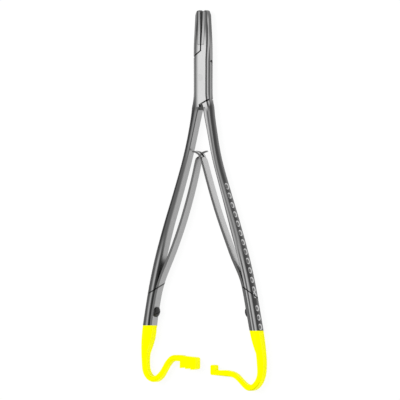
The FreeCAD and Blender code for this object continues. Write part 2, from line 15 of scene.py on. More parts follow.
import bmesh
import bpy
import numpy as np
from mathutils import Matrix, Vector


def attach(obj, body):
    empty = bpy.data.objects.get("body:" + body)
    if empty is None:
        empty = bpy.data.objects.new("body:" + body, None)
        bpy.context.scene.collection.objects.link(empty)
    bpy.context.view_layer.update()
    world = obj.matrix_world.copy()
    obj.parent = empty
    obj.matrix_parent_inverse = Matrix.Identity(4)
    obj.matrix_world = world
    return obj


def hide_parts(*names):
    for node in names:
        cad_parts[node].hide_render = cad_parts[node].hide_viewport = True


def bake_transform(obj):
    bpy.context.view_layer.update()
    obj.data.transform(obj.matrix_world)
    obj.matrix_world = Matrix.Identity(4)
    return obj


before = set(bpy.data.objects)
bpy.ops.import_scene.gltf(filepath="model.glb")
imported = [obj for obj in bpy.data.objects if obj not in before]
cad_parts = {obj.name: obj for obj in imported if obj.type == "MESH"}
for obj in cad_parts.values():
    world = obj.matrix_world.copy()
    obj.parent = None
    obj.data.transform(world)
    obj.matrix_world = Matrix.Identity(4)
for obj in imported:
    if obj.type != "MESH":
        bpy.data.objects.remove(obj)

LOG = logging.getLogger("needle_holder")
MM = 0.001
Colour = Tuple[float, float, float]
Point = Tuple[float, float, float]
PlanPoint = Tuple[float, float]
Stops = Tuple[Tuple[float, float], ...]
Span = Tuple[float, float]

# The instrument's sizes in millimetres, and how far the view is swung about its long axis.
THICKNESS = 5.6
MIDDLE = THICKNESS / 2
VIEW_SWING_DEG = 34.0

# Noise in grains per metre along X, Y and Z, and the height of the finest grain in metres.
GRAIN = (9000.0, 600.0, 9000.0)
GRAIN_DETAIL = 4.0
GRAIN_DEPTH = 0.000003
MOTTLE = (2600.0, 2000.0, 2600.0)
CLOUD = (260.0, 160.0, 260.0)
CLOUD_ROUGHNESS = 0.06

LINE_DARKNESS = 0.88
WHITE = (1.0, 1.0, 1.0, 1.0)


class Side(Enum):
    """The two rigid sides of the instrument, by the names of their bodies."""

    BOX = "box_side"
    THROUGH = "through_side"

    @property
    def other(self) -> "Side":
        """The side across the hinge."""
        return Side.THROUGH if self is Side.BOX else Side.BOX


class Value:
    """A number in a shader: a socket with Python's arithmetic on it."""

    def __init__(self, graph: "Graph", socket: Union[bpy.types.NodeSocket, float]) -> None:
        """Wrap a socket or a plain number of a graph."""
        self.graph = graph
        self.socket = socket

    def _math(self, operation: str, *others: Union["Value", float]) -> "Value":
        """A Math node of an operation on this value and others.

        Args:
            operation: The node's operation.
            others: Its further inputs.

        Returns:
            The node's result.
        """
        sockets = [other.socket if isinstance(other, Value) else other for other in others]
        inputs = dict(enumerate([self.socket, *sockets]))
        node = self.graph.node("ShaderNodeMath", {"operation": operation}, inputs)
        return Value(self.graph, node.outputs[0])

    def __add__(self, other: Union["Value", float]) -> "Value":
        """Sum."""
        return self._math("ADD", other)

    def __radd__(self, other: float) -> "Value":
        """Sum, the other way round."""
        return self._math("ADD", other)

    def __sub__(self, other: Union["Value", float]) -> "Value":
        """Difference."""
        return self._math("SUBTRACT", other)

    def __rsub__(self, other: float) -> "Value":
        """Difference from a number."""
        return self.graph.number(other)._math("SUBTRACT", self)

    def __mul__(self, other: Union["Value", float]) -> "Value":
        """Product."""
        return self._math("MULTIPLY", other)

    def __rmul__(self, other: float) -> "Value":
        """Product, the other way round."""
        return self._math("MULTIPLY", other)

    def absolute(self) -> "Value":
        """Size without sign."""
        return self._math("ABSOLUTE")

    def highest(self, other: Union["Value", float]) -> "Value":
        """The larger of two values."""
        return self._math("MAXIMUM", other)

    def angle_from(self, other: "Value") -> "Value":
        """Angle in radians whose sine and cosine go with this value and another."""
        return self._math("ARCTAN2", other)

    def ramp(self, low: float, high: float, start: float = 0.0, end: float = 1.0) -> "Value":
        """Smooth step from start to end while the value goes from low to high.

        Args:
            low: Where the step starts.
            high: Where it ends.
            start: The result before it.
            end: The result after it.

        Returns:
            The step's result.
        """
        node = self.graph.node(
            "ShaderNodeMapRange",
            {"interpolation_type": "SMOOTHSTEP"},
            {"Value": self.socket, "From Min": low, "From Max": high, "To Min": start, "To Max": end},
        )
        return Value(self.graph, node.outputs["Result"])

    def rise(self, span: Span) -> "Value":
        """0 before a span and 1 after it, with a smooth step between."""
        return self.ramp(*span)

    def fall(self, span: Span) -> "Value":
        """1 before a span and 0 after it, with a smooth step between."""
        return self.ramp(*span, 1.0, 0.0)

    def band(self, half: float, soft: float) -> "Value":
        """1 within half a width of zero, falling to 0 over a soft edge."""
        return self.absolute().ramp(half, half + soft, 1.0, 0.0)

    def towards(self, other: Union["Value", float], share: "Value") -> "Value":
        """This value, moved towards another as the share goes from 0 to 1."""
        return self + (other - self) * share

    def stops(self, levels: Sequence[Tuple[float, float]]) -> "Value":
        """Brightness from (place, grey level) stops, between which it goes straight.

        Args:
            levels: The stops, in order of their places from 0 to 1.

        Returns:
            The brightness at this value.
        """
        node = self.graph.node("ShaderNodeValToRGB", {}, {"Fac": self.socket})
        elements = node.color_ramp.elements
        while len(elements) < len(levels):
            elements.new(1.0)
        for element, (place, level) in zip(elements, levels):
            element.position = place
            element.color = (*[grey_level(level)] * 3, 1.0)
        return Value(self.graph, node.outputs["Color"])


class Graph:
    """The node tree of one material or world, built node by node."""

    def __init__(self, tree: bpy.types.NodeTree) -> None:
        """Start from an empty tree."""
        self.tree = tree
        tree.nodes.clear()

    def node(self, kind: str, settings: Optional[dict] = None,
             inputs: Optional[dict] = None) -> bpy.types.Node:
        """Add a node.

        Args:
            kind: Type of the node.
            settings: Its properties, which are set first.
            inputs: Values or links of its sockets, by name or number.

        Returns:
            The new node.
        """
        node = self.tree.nodes.new(kind)
        for name, setting in (settings or {}).items():
            setattr(node, name, setting)
        for name, given in (inputs or {}).items():
            given = given.socket if isinstance(given, Value) else given
            if isinstance(given, bpy.types.NodeSocket):
                self.tree.links.new(given, node.inputs[name])
            else:
                node.inputs[name].default_value = given
        return node

    def number(self, value: float) -> Value:
        """A plain number that takes part in expressions."""
        return Value(self, float(value))

    def levels(self, first: float, second: float, share: Value) -> Value:
        """Brightness that goes from one grey level to another with a share."""
        return self.number(grey_level(first)).towards(grey_level(second), share)

    def attribute(self, name: str) -> Value:
        """A number stored on the piece's mesh."""
        return Value(self, self.node("ShaderNodeAttribute", {"attribute_name": name}).outputs["Fac"])

    def place(self) -> Tuple[bpy.types.NodeSocket, Value, Value, Value]:
        """Object coordinates, as a vector and as X, Y and Z in millimetres.

        Returns:
            The vector, X, Y and Z.
        """
        vector = self.node("ShaderNodeTexCoord").outputs["Object"]
        parts = self.node("ShaderNodeSeparateXYZ", inputs={0: vector}).outputs
        x, y, z = (Value(self, part) * (1 / MM) for part in parts)
        return vector, x, y, z

    def noise(self, vector: bpy.types.NodeSocket, stretch: Point, detail: float = 3.0) -> Value:
        """Noise from 0 to 1, with its grains per metre along each axis.

        Args:
            vector: Object coordinates.
            stretch: Grains per metre along X, Y and Z.
            detail: How many finer layers it has.

        Returns:
            The noise.
        """
        mapped = self.node("ShaderNodeMapping", {}, {"Vector": vector, "Scale": stretch}).outputs[0]
        node = self.node("ShaderNodeTexNoise", {}, {"Vector": mapped, "Scale": 1.0, "Detail": detail})
        return Value(self, node.outputs["Fac"])

    def mix(self, share: Value, first: Union[Colour, bpy.types.NodeSocket],
            second: Union[Colour, bpy.types.NodeSocket]) -> bpy.types.NodeSocket:
        """Colour that goes from the first to the second as the share goes from 0 to 1.

        Args:
            share: How far it has gone.
            first: Colour at 0.
            second: Colour at 1.

        Returns:
            The mixed colour.
        """
        node = self.node("ShaderNodeMix", {"data_type": "RGBA"}, {0: share})
        for socket, given in ((node.inputs[6], first), (node.inputs[7], second)):
            if isinstance(given, bpy.types.NodeSocket):
                self.tree.links.new(given, socket)
            else:
                socket.default_value = (*given, 1.0)
        return node.outputs[2]

    def grey(self, value: Value) -> bpy.types.NodeSocket:
        """A neutral grey as bright as a value."""
        return self.mix(value, (0.0, 0.0, 0.0), (1.0, 1.0, 1.0))

    def bump(self, height: Value, depth: float) -> bpy.types.NodeSocket:
        """Normal raised by a height from 0 to 1 times a depth in metres."""
        node = self.node("ShaderNodeBump", {}, {"Strength": 1.0, "Distance": depth, "Height": height})
        return node.outputs["Normal"]


def grey_level(level: float) -> float:
    """Linear brightness of a grey level from 0 to 255 on a screen.

    It follows the usual screen curve: straight near black, and above that a
    power of 2.4 of the level's share.

    Args:
        level: Grey level on the screen.

    Returns:
        The brightness, from 0 to 1.
    """
    share = level / 255
    return share / 12.92 if share <= 0.04045 else ((share + 0.055) / 1.055) ** 2.4


def seen_across(x: Value, z: Value, swing_deg: float = VIEW_SWING_DEG) -> Value:
    """Place across a view that is swung about the long axis, in millimetres."""
    swing = radians(swing_deg)
    return x * cos(swing) - (z - MIDDLE) * sin(swing)


def dimmed(bright: Value, lines: Value) -> Value:
    """A brightness, nearly black where the lines are 1."""
    return bright * (1.0 - LINE_DARKNESS * lines)


@dataclass(frozen=True)
class DarkLine:
    """A straight dark line across a handle, by its ends in the plane of view.

    The first number of an end goes across the view, square to the long axis,
    and the second goes along the instrument, both in millimetres.
    """

    start: Tuple[float, float]
    end: Tuple[float, float]
    half_width: float = 0.25
    swing_deg: float = VIEW_SWING_DEG
    soft_edge: float = 0.12
    soft_end: float = 0.2

    def mask(self, x: Value, y: Value, z: Value) -> Value:
        """1 on the line, which ends a little past the handle's edges.

        Args:
            x: Place across the instrument in millimetres.
            y: Place along the instrument in millimetres.
            z: Height in millimetres.

        Returns:
            The mask.
        """
        run = np.array(self.end) - np.array(self.start)
        length = float(np.hypot(*run))
        along, rise = (float(part) for part in run / length)
        across = seen_across(x, z, self.swing_deg) - self.start[0]
        up = y - self.start[1]
        travel = across * along + up * rise
        offset = up * along - across * rise
        middle = travel - length / 2
        return offset.band(self.half_width, self.soft_edge) * middle.band(length / 2, self.soft_end)


LEFT_PLATING_END = -130.2
RIGHT_PLATING_END = -132.7
# A dark line across each handle and its spring, laid in the plane of view.
LEFT_DARK_LINE = DarkLine((-28.6, -113.2), (-19.9, -107.9))
RIGHT_DARK_LINE = DarkLine((20.7, -109.8), (28.6, -115.6))
LOCK_GAPS = (
    DarkLine((-5.05, 10.3), (0.38, 14.3), 0.24, swing_deg=0.0),
    DarkLine((-0.9, -14.35), (5.05, -11.35), 0.24, swing_deg=0.0),
)


@dataclass(frozen=True)
class YellowPlating:
    """The yellow finish of the hooked ends, which stops at a straight line across."""

    end: float
    colour: Colour = (1.0, 0.985, 0.0)
    roughness: float = 0.36
    sheen_share: float = 0.55
    soft_edge: float = 0.08

    def share(self, y: Value) -> Value:
        """1 below the line, 0 above it."""
        return y.fall((self.end - self.soft_edge, self.end + self.soft_edge))

    def surface(self, graph: Graph, y: Value, steel: bpy.types.NodeSocket, rough: Value,
                grain: Value) -> None:
        """Finish a material: steel above the line, plating below it.

        Args:
            graph: The material's nodes.
            y: Place along the instrument in millimetres.
            steel: Colour of the bare steel.
            rough: Roughness of the bare steel.
            grain: Height of the fine grain, from 0 to 1.
        """
        plated = self.share(y)
        shader = graph.node("ShaderNodeBsdfPrincipled", {}, {
            "Base Color": graph.mix(plated, steel, self.colour),
            "Metallic": 1.0 - (1.0 - self.sheen_share) * plated,
            "Specular IOR Level": 0.0,
            "Roughness": rough.towards(self.roughness, plated),
            "Normal": graph.bump(grain, GRAIN_DEPTH),
        })
        graph.node("ShaderNodeOutputMaterial", {}, {"Surface": shader.outputs[0]})


@dataclass(frozen=True)
class LimbZones:
    """Where the painted light and shade of a limb change.

    A span holds the two ends of a smooth change in millimetres. It lies along
    the instrument unless its name ends in _x, across it, or in _depth, away
    from the middle of its thickness.
    """

    lock_top: Span = (-18.5, -14.0)
    lock_flank: Span = (-15.5, -9.5)
    grip: Span = (-50.0, -32.0)
    foot: Span = (-99.0, -80.0)
    heel_shade: Span = (-98.5, -92.5)
    lock_mouth: Span = (-17.4, -16.6)
    dimples: Span = (-18.0, -17.0)
    dimple_depth: Span = (1.78, 1.84)
    jaw_top: Span = (15.0, 28.0)
    jaw_flank: Span = (12.0, 26.0)
    left_jaw_shoulder: Span = (12.0, 24.0)
    jaw_taper: Span = (8.0, 28.0)
    tip: Span = (30.0, 34.0)
    left_edge_x: Span = (-3.5, -0.9)
    halves_x: Span = (-0.1, 0.1)
    slot_end: Span = (4.0, 6.0)
    slot_end_x: Span = (3.4, 4.2)
    crotch_wall: Span = (-15.7, -15.2)
    inside_x: Span = (4.5, 4.6)
    inside_end: Span = (14.0, 14.4)
    inside_depth: Span = (1.3, 1.35)


@dataclass(frozen=True)
class Crotch:
    """The corner between the handles, painted in shade, as the swung view shows it.

    Its middle line leans: it starts from a place across the view and moves by
    the lean for each millimetre along the instrument.
    """

    across: float = -1.2
    lean: float = -0.17
    lean_from: float = -14.0
    half_width: float = 0.85
    centre: float = -15.45
    half_length: float = 1.35
    soft_edge: float = 0.15

    def mask(self, x: Value, y: Value, z: Value) -> Value:
        """1 in the corner."""
        aside = seen_across(x, z) - self.across - self.lean * (y - self.lean_from)
        return aside.band(self.half_width, self.soft_edge) * (y - self.centre).band(
            self.half_length, self.soft_edge)


@dataclass(frozen=True)
class InsertBorder:
    """The thin line round the jaw inserts, which widen towards the tip."""

    foot: float = 17.3
    at_rivet: float = 1.33
    widening: float = 0.0244
    half_width: float = 0.1
    darkness: float = 0.7

    def mask(self, x: Value, y: Value) -> Value:
        """1 on the line along the inserts and across their feet.

        Args:
            x: Place across the instrument in millimetres.
            y: Place along the instrument in millimetres.

        Returns:
            The mask.
        """
        outside = x.absolute() - (self.at_rivet + self.widening * y)
        above_foot = y.rise((self.foot - self.half_width, self.foot))
        border = outside.band(self.half_width, self.half_width) * above_foot
        foot = (y - self.foot).band(self.half_width, self.half_width) * outside.fall((0.0, self.half_width))
        return border.highest(foot)


@dataclass(frozen=True)
class ForgedSteel:
    """Forged steel: satin flats, polished bevels, and a plated end below a line.

    A brightness is a grey level from 0 to 255, painted light and shade. The
    levels of a handle's top are (place, level) stops from its outer edge, 0, to
    its inner edge, 1: painted reflection bands of highlight and shade.
    """

    name: str
    plating_end: float
    neck_levels: Stops
    grip_levels: Stops
    foot_levels: Stops
    dark_line: DarkLine
    zones: LimbZones = LimbZones()
    corner: Crotch = Crotch()
    border: InsertBorder = InsertBorder()
    # Grey levels of painted light and shade: painted highlights on the lock front, dimple rims, right
    # shoulder and slot end; painted shade on the flanks, shoulders, darker jaws, lock hollows and the corner
    # between the handles.
    front: float = 222
    front_edge: float = 84
    jaw: float = 118
    inner_flank: float = 166
    shaded_flank: float = 46
    outer_flank_top: float = 56
    outer_flank_foot: float = 128
    dimple: float = 105
    dimple_rim: float = 196
    lock_flank: float = 150
    jaw_flank: float = 108
    left_shoulder: float = 84
    left_jaw_shoulder: float = 128
    shoulder_shade: float = 80
    shoulder_light: float = 178
    slot_shade: float = 52
    crotch: float = 76
    crotch_wall: float = 150
    slot_end: float = 225
    satin: float = 0.34
    polish: float = 0.22
    even_share: float = 0.86
    grain_share: float = 0.08
    mottle_share: float = 0.12
    cloud_share: float = 0.08
    outer_turn: Span = (-0.05, 0.05)
    flat_lie: Span = (0.985, 0.995)
    flank_lie: Span = (0.3, 0.5)
    flank_drop: Span = (0.35, 0.95)
    scoop: Span = (0.02, 0.06)
    rim_scoop: float = 0.2
    rim_half_width: float = 0.09
    rim_soft_edge: float = 0.08
    streak_depths: Span = (2.02, 1.24)
    streak_half_width: float = 0.16
    streak_tip_share: float = 0.3

    def material(self) -> bpy.types.Material:
        """Build the material, which reads the marks of faces and vertices.

        Returns:
            The new material.
        """
        material = bpy.data.materials.new(self.name)
        material.use_nodes = True
        graph = Graph(material.node_tree)
        vector, x, y, z = graph.place()
        lie = graph.attribute("lie")
        outer = graph.attribute("outward").rise(self.outer_turn)
        flat = lie.rise(self.flat_lie)
        flank = lie.fall(self.flank_lie)
        depth = (z - MIDDLE).absolute()
        lock = y.rise(self.zones.lock_top).towards(y.rise(self.zones.lock_flank), flank)

        handle = self._handle(graph, y, depth, outer, flank)
        bright = handle.towards(self._lock(graph, x, y, depth, flat, flank), lock)
        bright = self._hollows(graph, x, y, z, depth, flank, bright)
        lines = self.dark_line.mask(x, y, z)
        for gap in LOCK_GAPS:
            lines = lines.highest(gap.mask(x, y, z) * (1.0 - flank))
        bright = dimmed(bright, lines)

        grain = graph.noise(vector, GRAIN, GRAIN_DETAIL)
        mottle = graph.noise(vector, MOTTLE)
        cloud = graph.noise(vector, CLOUD)
        bright = bright * (self.even_share + self.grain_share * grain + self.mottle_share * mottle
                           + self.cloud_share * cloud)
        rough = self.polish + (self.satin - self.polish) * flat + CLOUD_ROUGHNESS * cloud
        YellowPlating(self.plating_end).surface(graph, y, graph.grey(bright), rough, grain)
        return material

    def _handle(self, graph: Graph, y: Value, depth: Value, outer: Value, flank: Value) -> Value:
        """Painted light and shade of the handle: painted reflection bands across the top, painted shade on
        the flanks, painted highlights in the dimples.

        Args:
            graph: The material's nodes.
            y: Place along the instrument in millimetres.
            depth: Distance from the middle of the thickness in millimetres.
            outer: 1 on faces that point outwards.
            flank: 1 on upright faces.

        Returns:
            The brightness.
        """
        zones = self.zones
        across = graph.attribute("across")
        scoop = graph.attribute("scoop")
        # Painted reflection bands across the top, changing from neck to grip to foot.
        top = across.stops(self.neck_levels).towards(across.stops(self.grip_levels), y.fall(zones.grip))
        top = top.towards(across.stops(self.foot_levels), y.fall(zones.foot))
        # Painted shade on the outer flank, darkest near the top and lighter towards the underside.
        drop = graph.attribute("drop").rise(self.flank_drop)
        outer_flank = graph.levels(self.outer_flank_top, self.outer_flank_foot, drop)
        # Painted highlight on each dimple's rim, over a painted mid grey in the hollow.
        rim = (scoop - self.rim_scoop).band(self.rim_half_width, self.rim_soft_edge)
        in_dimple = scoop.rise(self.scoop) * depth.fall(zones.dimple_depth) * y.fall(zones.dimples)
        dimple = graph.levels(self.dimple, self.dimple_rim, rim)
        # Painted shadow on the inner flank towards the hook and inside the lock's mouth.
        shaded = y.fall(zones.heel_shade).highest(y.rise(zones.lock_mouth))
        inner_flank = graph.levels(self.inner_flank, self.shaded_flank, shaded)
        sides = inner_flank.towards(outer_flank, outer)
        return top.towards(sides, flank).towards(dimple, in_dimple * outer)

    def _lock(self, graph: Graph, x: Value, y: Value, depth: Value, flat: Value, flank: Value) -> Value:
        """Painted light and shade of the lock and the jaws: painted shade where the left edge turns away, a
        painted highlight streak along the right shoulder.

        Args:
            graph: The material's nodes.
            x: Place across the instrument in millimetres.
            y: Place along the instrument in millimetres.
            depth: Distance from the middle of the thickness in millimetres.
            flat: 1 on level faces.
            flank: 1 on upright faces.

        Returns:
            The brightness.
        """
        zones = self.zones
        # Lock front painted brighter than the jaws, with painted shade towards its left edge.
        front = graph.levels(self.front, self.jaw, y.rise(zones.jaw_top))
        edge_share = grey_level(self.front_edge) / grey_level(self.front)
        front = front * x.ramp(*zones.left_edge_x, edge_share, 1.0)
        # Painted highlight streak along the right shoulder, fading towards the tip.
        highlight_streak = (depth - y.ramp(*zones.jaw_taper, *self.streak_depths)).band(
            self.streak_half_width, self.streak_half_width)
        highlight_streak = highlight_streak * y.ramp(*zones.tip, 1.0, self.streak_tip_share)
        right = graph.levels(self.shoulder_shade, self.shoulder_light, highlight_streak)
        # Painted shade on the left shoulder and painted grey levels of the side faces.
        left = graph.levels(self.left_shoulder, self.left_jaw_shoulder, y.rise(zones.left_jaw_shoulder))
        shoulder = left.towards(right, x.rise(zones.halves_x))
        side_face = graph.levels(self.lock_flank, self.jaw_flank, y.rise(zones.jaw_flank))
        side = shoulder.towards(side_face, flank)
        border = self.border.mask(x, y) * (1.0 - flank)
        return side.towards(front, flat) * (1.0 - self.border.darkness * border)

    def _hollows(self, graph: Graph, x: Value, y: Value, z: Value, depth: Value, flank: Value,
                 bright: Value) -> Value:
        """Brightness with painted shade inside the lock and in the corner between the handles.

        Args:
            graph: The material's nodes.
            x: Place across the instrument in millimetres.
            y: Place along the instrument in millimetres.
            z: Height in millimetres.
            depth: Distance from the middle of the thickness in millimetres.
            flank: 1 on upright faces.
            bright: Brightness without them.

        Returns:
            The new brightness.
        """
        zones = self.zones
        # Painted shade on the walls inside the lock, with a painted lighter patch at the slot's far end.
        slot_end = x.absolute().rise(zones.slot_end_x) * y.rise(zones.slot_end)
        slot_shade = graph.levels(self.slot_shade, self.slot_end, slot_end)
        inside = x.absolute().fall(zones.inside_x) * y.rise(zones.lock_mouth) * y.fall(zones.inside_end)
        bright = bright.towards(slot_shade, inside * flank.highest(depth.fall(zones.inside_depth)))
        # Painted shade in the corner between the handles, lighter on its wall.
        corner = graph.levels(self.crotch, self.crotch_wall, flank * y.rise(zones.crotch_wall))
        return bright.towards(corner, self.corner.mask(x, y, z))


@dataclass(frozen=True)
class PlainSteel:
    """Steel of one finish all over, with fine grain along the instrument and painted light and shade."""

    name: str
    face: float
    edge: float
    roughness: float
    dark_line: Optional[DarkLine] = None
    tip_share: float = 1.0
    plating_end: float = -200.0
    edge_lie: Span = (0.4, 0.8)
    tip: Span = (20.0, 34.0)
    even_share: float = 0.9
    grain_share: float = 0.1
    cloud_share: float = 0.1

    def material(self) -> bpy.types.Material:
        """Build the material: painted light and shade, with the edge brightness where the face points up or
        down.

        Returns:
            The new material.
        """
        material = bpy.data.materials.new(self.name)
        material.use_nodes = True
        graph = Graph(material.node_tree)
        vector, x, y, z = graph.place()
        # Painted light and shade: upright faces at the face's grey level, faces pointing up or down at the
        # edge's.
        bright = graph.levels(self.face, self.edge, graph.attribute("lie").rise(self.edge_lie))
        if self.dark_line:
            bright = dimmed(bright, self.dark_line.mask(x, y, z))
        bright = bright * y.ramp(*self.tip, 1.0, self.tip_share)
        grain = graph.noise(vector, GRAIN, GRAIN_DETAIL)
        cloud = graph.noise(vector, CLOUD)
        bright = bright * (self.even_share + self.grain_share * grain + self.cloud_share * cloud)
        rough = self.roughness + CLOUD_ROUGHNESS * cloud
        YellowPlating(self.plating_end).surface(graph, y, graph.grey(bright), rough, grain)
        return material


def welded_copy(node: str, name: str) -> bpy.types.Object:
    """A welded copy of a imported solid's mesh.

    Args:
        node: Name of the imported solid.
        name: Name of the new piece.

    Returns:
        The new object, which rides on nothing yet.
    """
    weld = 0.002 * MM
    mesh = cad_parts[node].data.copy()
    mesh.name = name
    work = bmesh.new()
    work.from_mesh(mesh)
    bmesh.ops.remove_doubles(work, verts=work.verts, dist=weld)
    bmesh.ops.dissolve_degenerate(work, edges=work.edges, dist=weld)
    work.to_mesh(mesh)
    work.free()
    mesh.materials.clear()
    piece = bpy.data.objects.new(name, mesh)
    bpy.context.scene.collection.objects.link(piece)
    return piece


def read(values: bpy.types.bpy_prop_collection, name: str, width: int = 1) -> np.ndarray:
    """Numbers of every item in a mesh's list, one row for each item.

    Args:
        values: The mesh's list.
        name: Which property is read.
        width: How many numbers an item has.

    Returns:
        The numbers.
    """
    numbers = np.empty(len(values) * width, dtype=np.float64)
    values.foreach_get(name, numbers)
    return numbers.reshape(-1, width) if width > 1 else numbers


def store(mesh: bpy.types.Mesh, name: str, domain: str, numbers: np.ndarray) -> None:
    """Keep one number for each face or vertex under a name."""
    mesh.attributes.new(name, "FLOAT", domain).data.foreach_set("value", numbers.astype(np.float32))


def mark_faces(piece: bpy.types.Object) -> None:
    """Store on each face how flat it lies, and how far it faces outwards.

    lie is the size of the normal's Z. outward is the normal's X, with its
    sign turned on the left half, so that it is above 0 away from the middle.

    Args:
        piece: The piece, whose mesh gets the numbers.
    """
    mesh = piece.data
    normals = read(mesh.polygons, "normal", 3)
    centres = read(mesh.polygons, "center", 3)
    store(mesh, "lie", "FACE", np.abs(normals[:, 2]))
    store(mesh, "outward", "FACE", normals[:, 0] * np.sign(centres[:, 0]))


@dataclass(frozen=True)
class Handle:
    """The straight-topped stretch of a limb between its lock and its hook."""

    foot: float = -137.0
    head: float = -15.0
    rim_low: float = 5.06
    rim_high: float = 5.14
    upright: float = 0.3
    sideways: float = 0.6

    def mark(self, piece: bpy.types.Object) -> None:
        """Store on each vertex of a limb where it lies on the handle.

        across goes from 0 at the outer edge of the top to 1 at the inner edge.
        scoop is the depth in millimetres below the outer flank. drop goes from
        0 at the top to 1 at the underside. The edges are followed through the
        vertices at the foot of the bevels, where the upright flanks begin.

        Args:
            piece: The limb, whose mesh gets the numbers.
        """
        mesh = piece.data
        spots = read(mesh.vertices, "co", 3) / MM
        faces = read(mesh.loops, "vertex_index").astype(int).reshape(-1, 3)
        lie = np.abs(read(mesh.polygons, "normal", 3)[:, 2])
        outward = read(mesh.attributes["outward"].data, "value")
        outer = self._edge(spots, np.unique(faces[(lie < self.upright) & (outward > self.sideways)]))
        inner = self._edge(spots, np.unique(faces[(lie < self.upright) & (outward < -self.sideways)]))
        across = (spots[:, 0] - outer) / (inner - outer)
        store(mesh, "across", "POINT", np.clip(across, 0, 1))
        store(mesh, "scoop", "POINT", np.clip(np.abs(outer) - np.abs(spots[:, 0]), 0, 1))
        store(mesh, "drop", "POINT", 1 - spots[:, 2] / THICKNESS)

    def _edge(self, spots: np.ndarray, members: np.ndarray) -> np.ndarray:
        """X of one upper edge of the handle at the Y of every vertex.

        Args:
            spots: Places of all vertices in millimetres.
            members: Which vertices lie on that flank.

        Returns:
            One X for each vertex.
        """
        rim = spots[members]
        level = (rim[:, 2] > self.rim_low) & (rim[:, 2] < self.rim_high)
        rim = rim[level & (rim[:, 1] > self.foot) & (rim[:, 1] < self.head)]
        rim = rim[np.argsort(rim[:, 1])]
        return np.interp(spots[:, 1], rim[:, 1], rim[:, 0])


def soften_edges(piece: bpy.types.Object, width: float, corner_deg: float) -> None:
    """Round the sharp edges a little and shade the faces between them smoothly.

    Args:
        piece: The piece.
        width: Width of the rounding in metres.
        corner_deg: Angle from which an edge counts as sharp.
    """
    mesh = piece.data
    mesh.shade_smooth()
    mesh.set_sharp_from_angle(angle=radians(corner_deg))
    bevel = piece.modifiers.new("soft edges", "BEVEL")
    bevel.limit_method = "ANGLE"
    bevel.angle_limit = radians(corner_deg)
    bevel.width = width
    bevel.segments = 2
    bevel.harden_normals = True


def smooth_course(points: Sequence[PlanPoint], count: int) -> Tuple[np.ndarray, np.ndarray, np.ndarray]:
    """Even places along the smooth curve through plan points.

    The curve is the natural cubic spline over the lengths of the chords. Its
    second derivatives solve the usual linear system of three terms a row.

    Args:
        points: Plan points in order.
        count: How many places.

    Returns:
        The places, the unit directions there, and each place's share of the
        way from one given point to the next, counted from the first point.
    """
    knots = np.array(points, dtype=float)
    chords = np.hypot(*np.diff(knots, axis=0).T)
    spots = np.concatenate([[0.0], np.cumsum(chords)])
    rows = np.arange(1, len(knots) - 1)
    system = np.eye(len(knots))
    system[rows, rows - 1] = chords[:-1]
    system[rows, rows] = 2 * (chords[:-1] + chords[1:])
    system[rows, rows + 1] = chords[1:]
    turns = np.zeros_like(knots)
    turns[1:-1] = 6 * np.diff(np.diff(knots, axis=0) / chords[:, None], axis=0)
    bends = np.linalg.solve(system, turns)
    travel = np.linspace(0.0, spots[-1], count)
    leg = np.clip(np.searchsorted(spots, travel, side="right") - 1, 0, len(chords) - 1)
    chord = chords[leg][:, None]
    left = (spots[leg + 1] - travel)[:, None]
    done = (travel - spots[leg])[:, None]
    places = (bends[leg] * left ** 3 + bends[leg + 1] * done ** 3) / (6 * chord)
    places += (knots[leg] / chord - bends[leg] * chord / 6) * left
    places += (knots[leg + 1] / chord - bends[leg + 1] * chord / 6) * done
    directions = np.gradient(places, axis=0)
    directions /= np.hypot(*directions.T)[:, None]
    return places, directions, leg + done[:, 0] / chords[leg]


def strip(places: np.ndarray, directions: np.ndarray, halves: np.ndarray, lows: np.ndarray,
          highs: np.ndarray, edge: float, corner_points: int = 5) -> Tuple[np.ndarray, np.ndarray]:
    """Closed skin of an upright strip along a course, with rounded edges.

    Each ring is a rectangle, as thick as twice its half and as wide as from
    its low to its high, whose four corners are quarter circles of the edge's
    radius: corner centre plus radius times (cosine, sine) of the turn.

    Args:
        places: Plan places, one row for each ring.
        directions: Unit plan directions there.
        halves: Half thickness of each ring.
        lows: Lowest height of each ring.
        highs: Greatest height of each ring.
        edge: Radius of the rounded edges.
        corner_points: Points on each quarter circle.

    Returns:
        The vertices, and the corners of the four-sided faces.
    """
    quarter = np.linspace(0.0, np.pi / 2, corner_points)
    turn = np.concatenate([quarter + start for start in np.arange(4) * np.pi / 2])
    sign_u = np.repeat([1.0, -1.0, -1.0, 1.0], corner_points)
    high_side = np.repeat([True, True, False, False], corner_points)
    off = (halves[:, None] - edge) * sign_u + edge * np.cos(turn)
    up = np.where(high_side, highs[:, None] - edge, lows[:, None] + edge) + edge * np.sin(turn)
    across = np.stack([directions[:, 1], -directions[:, 0]], axis=1)
    plan = places[:, None, :] + across[:, None, :] * off[:, :, None]
    rings = np.concatenate([plan, up[:, :, None]], axis=2)
    ends = rings[[0, -1]].mean(axis=1, keepdims=True)
    rings = np.concatenate([np.broadcast_to(ends[:1], rings[:1].shape), rings,
                            np.broadcast_to(ends[1:], rings[:1].shape)])
    size, around = rings.shape[:2]
    row, column = np.meshgrid(np.arange(size - 1), np.arange(around), indexing="ij")
    following = (column + 1) % around
    faces = np.stack([row * around + column, row * around + following, (row + 1) * around + following,
                      (row + 1) * around + column], axis=-1)
    return rings.reshape(-1, 3), faces.reshape(-1, 4)


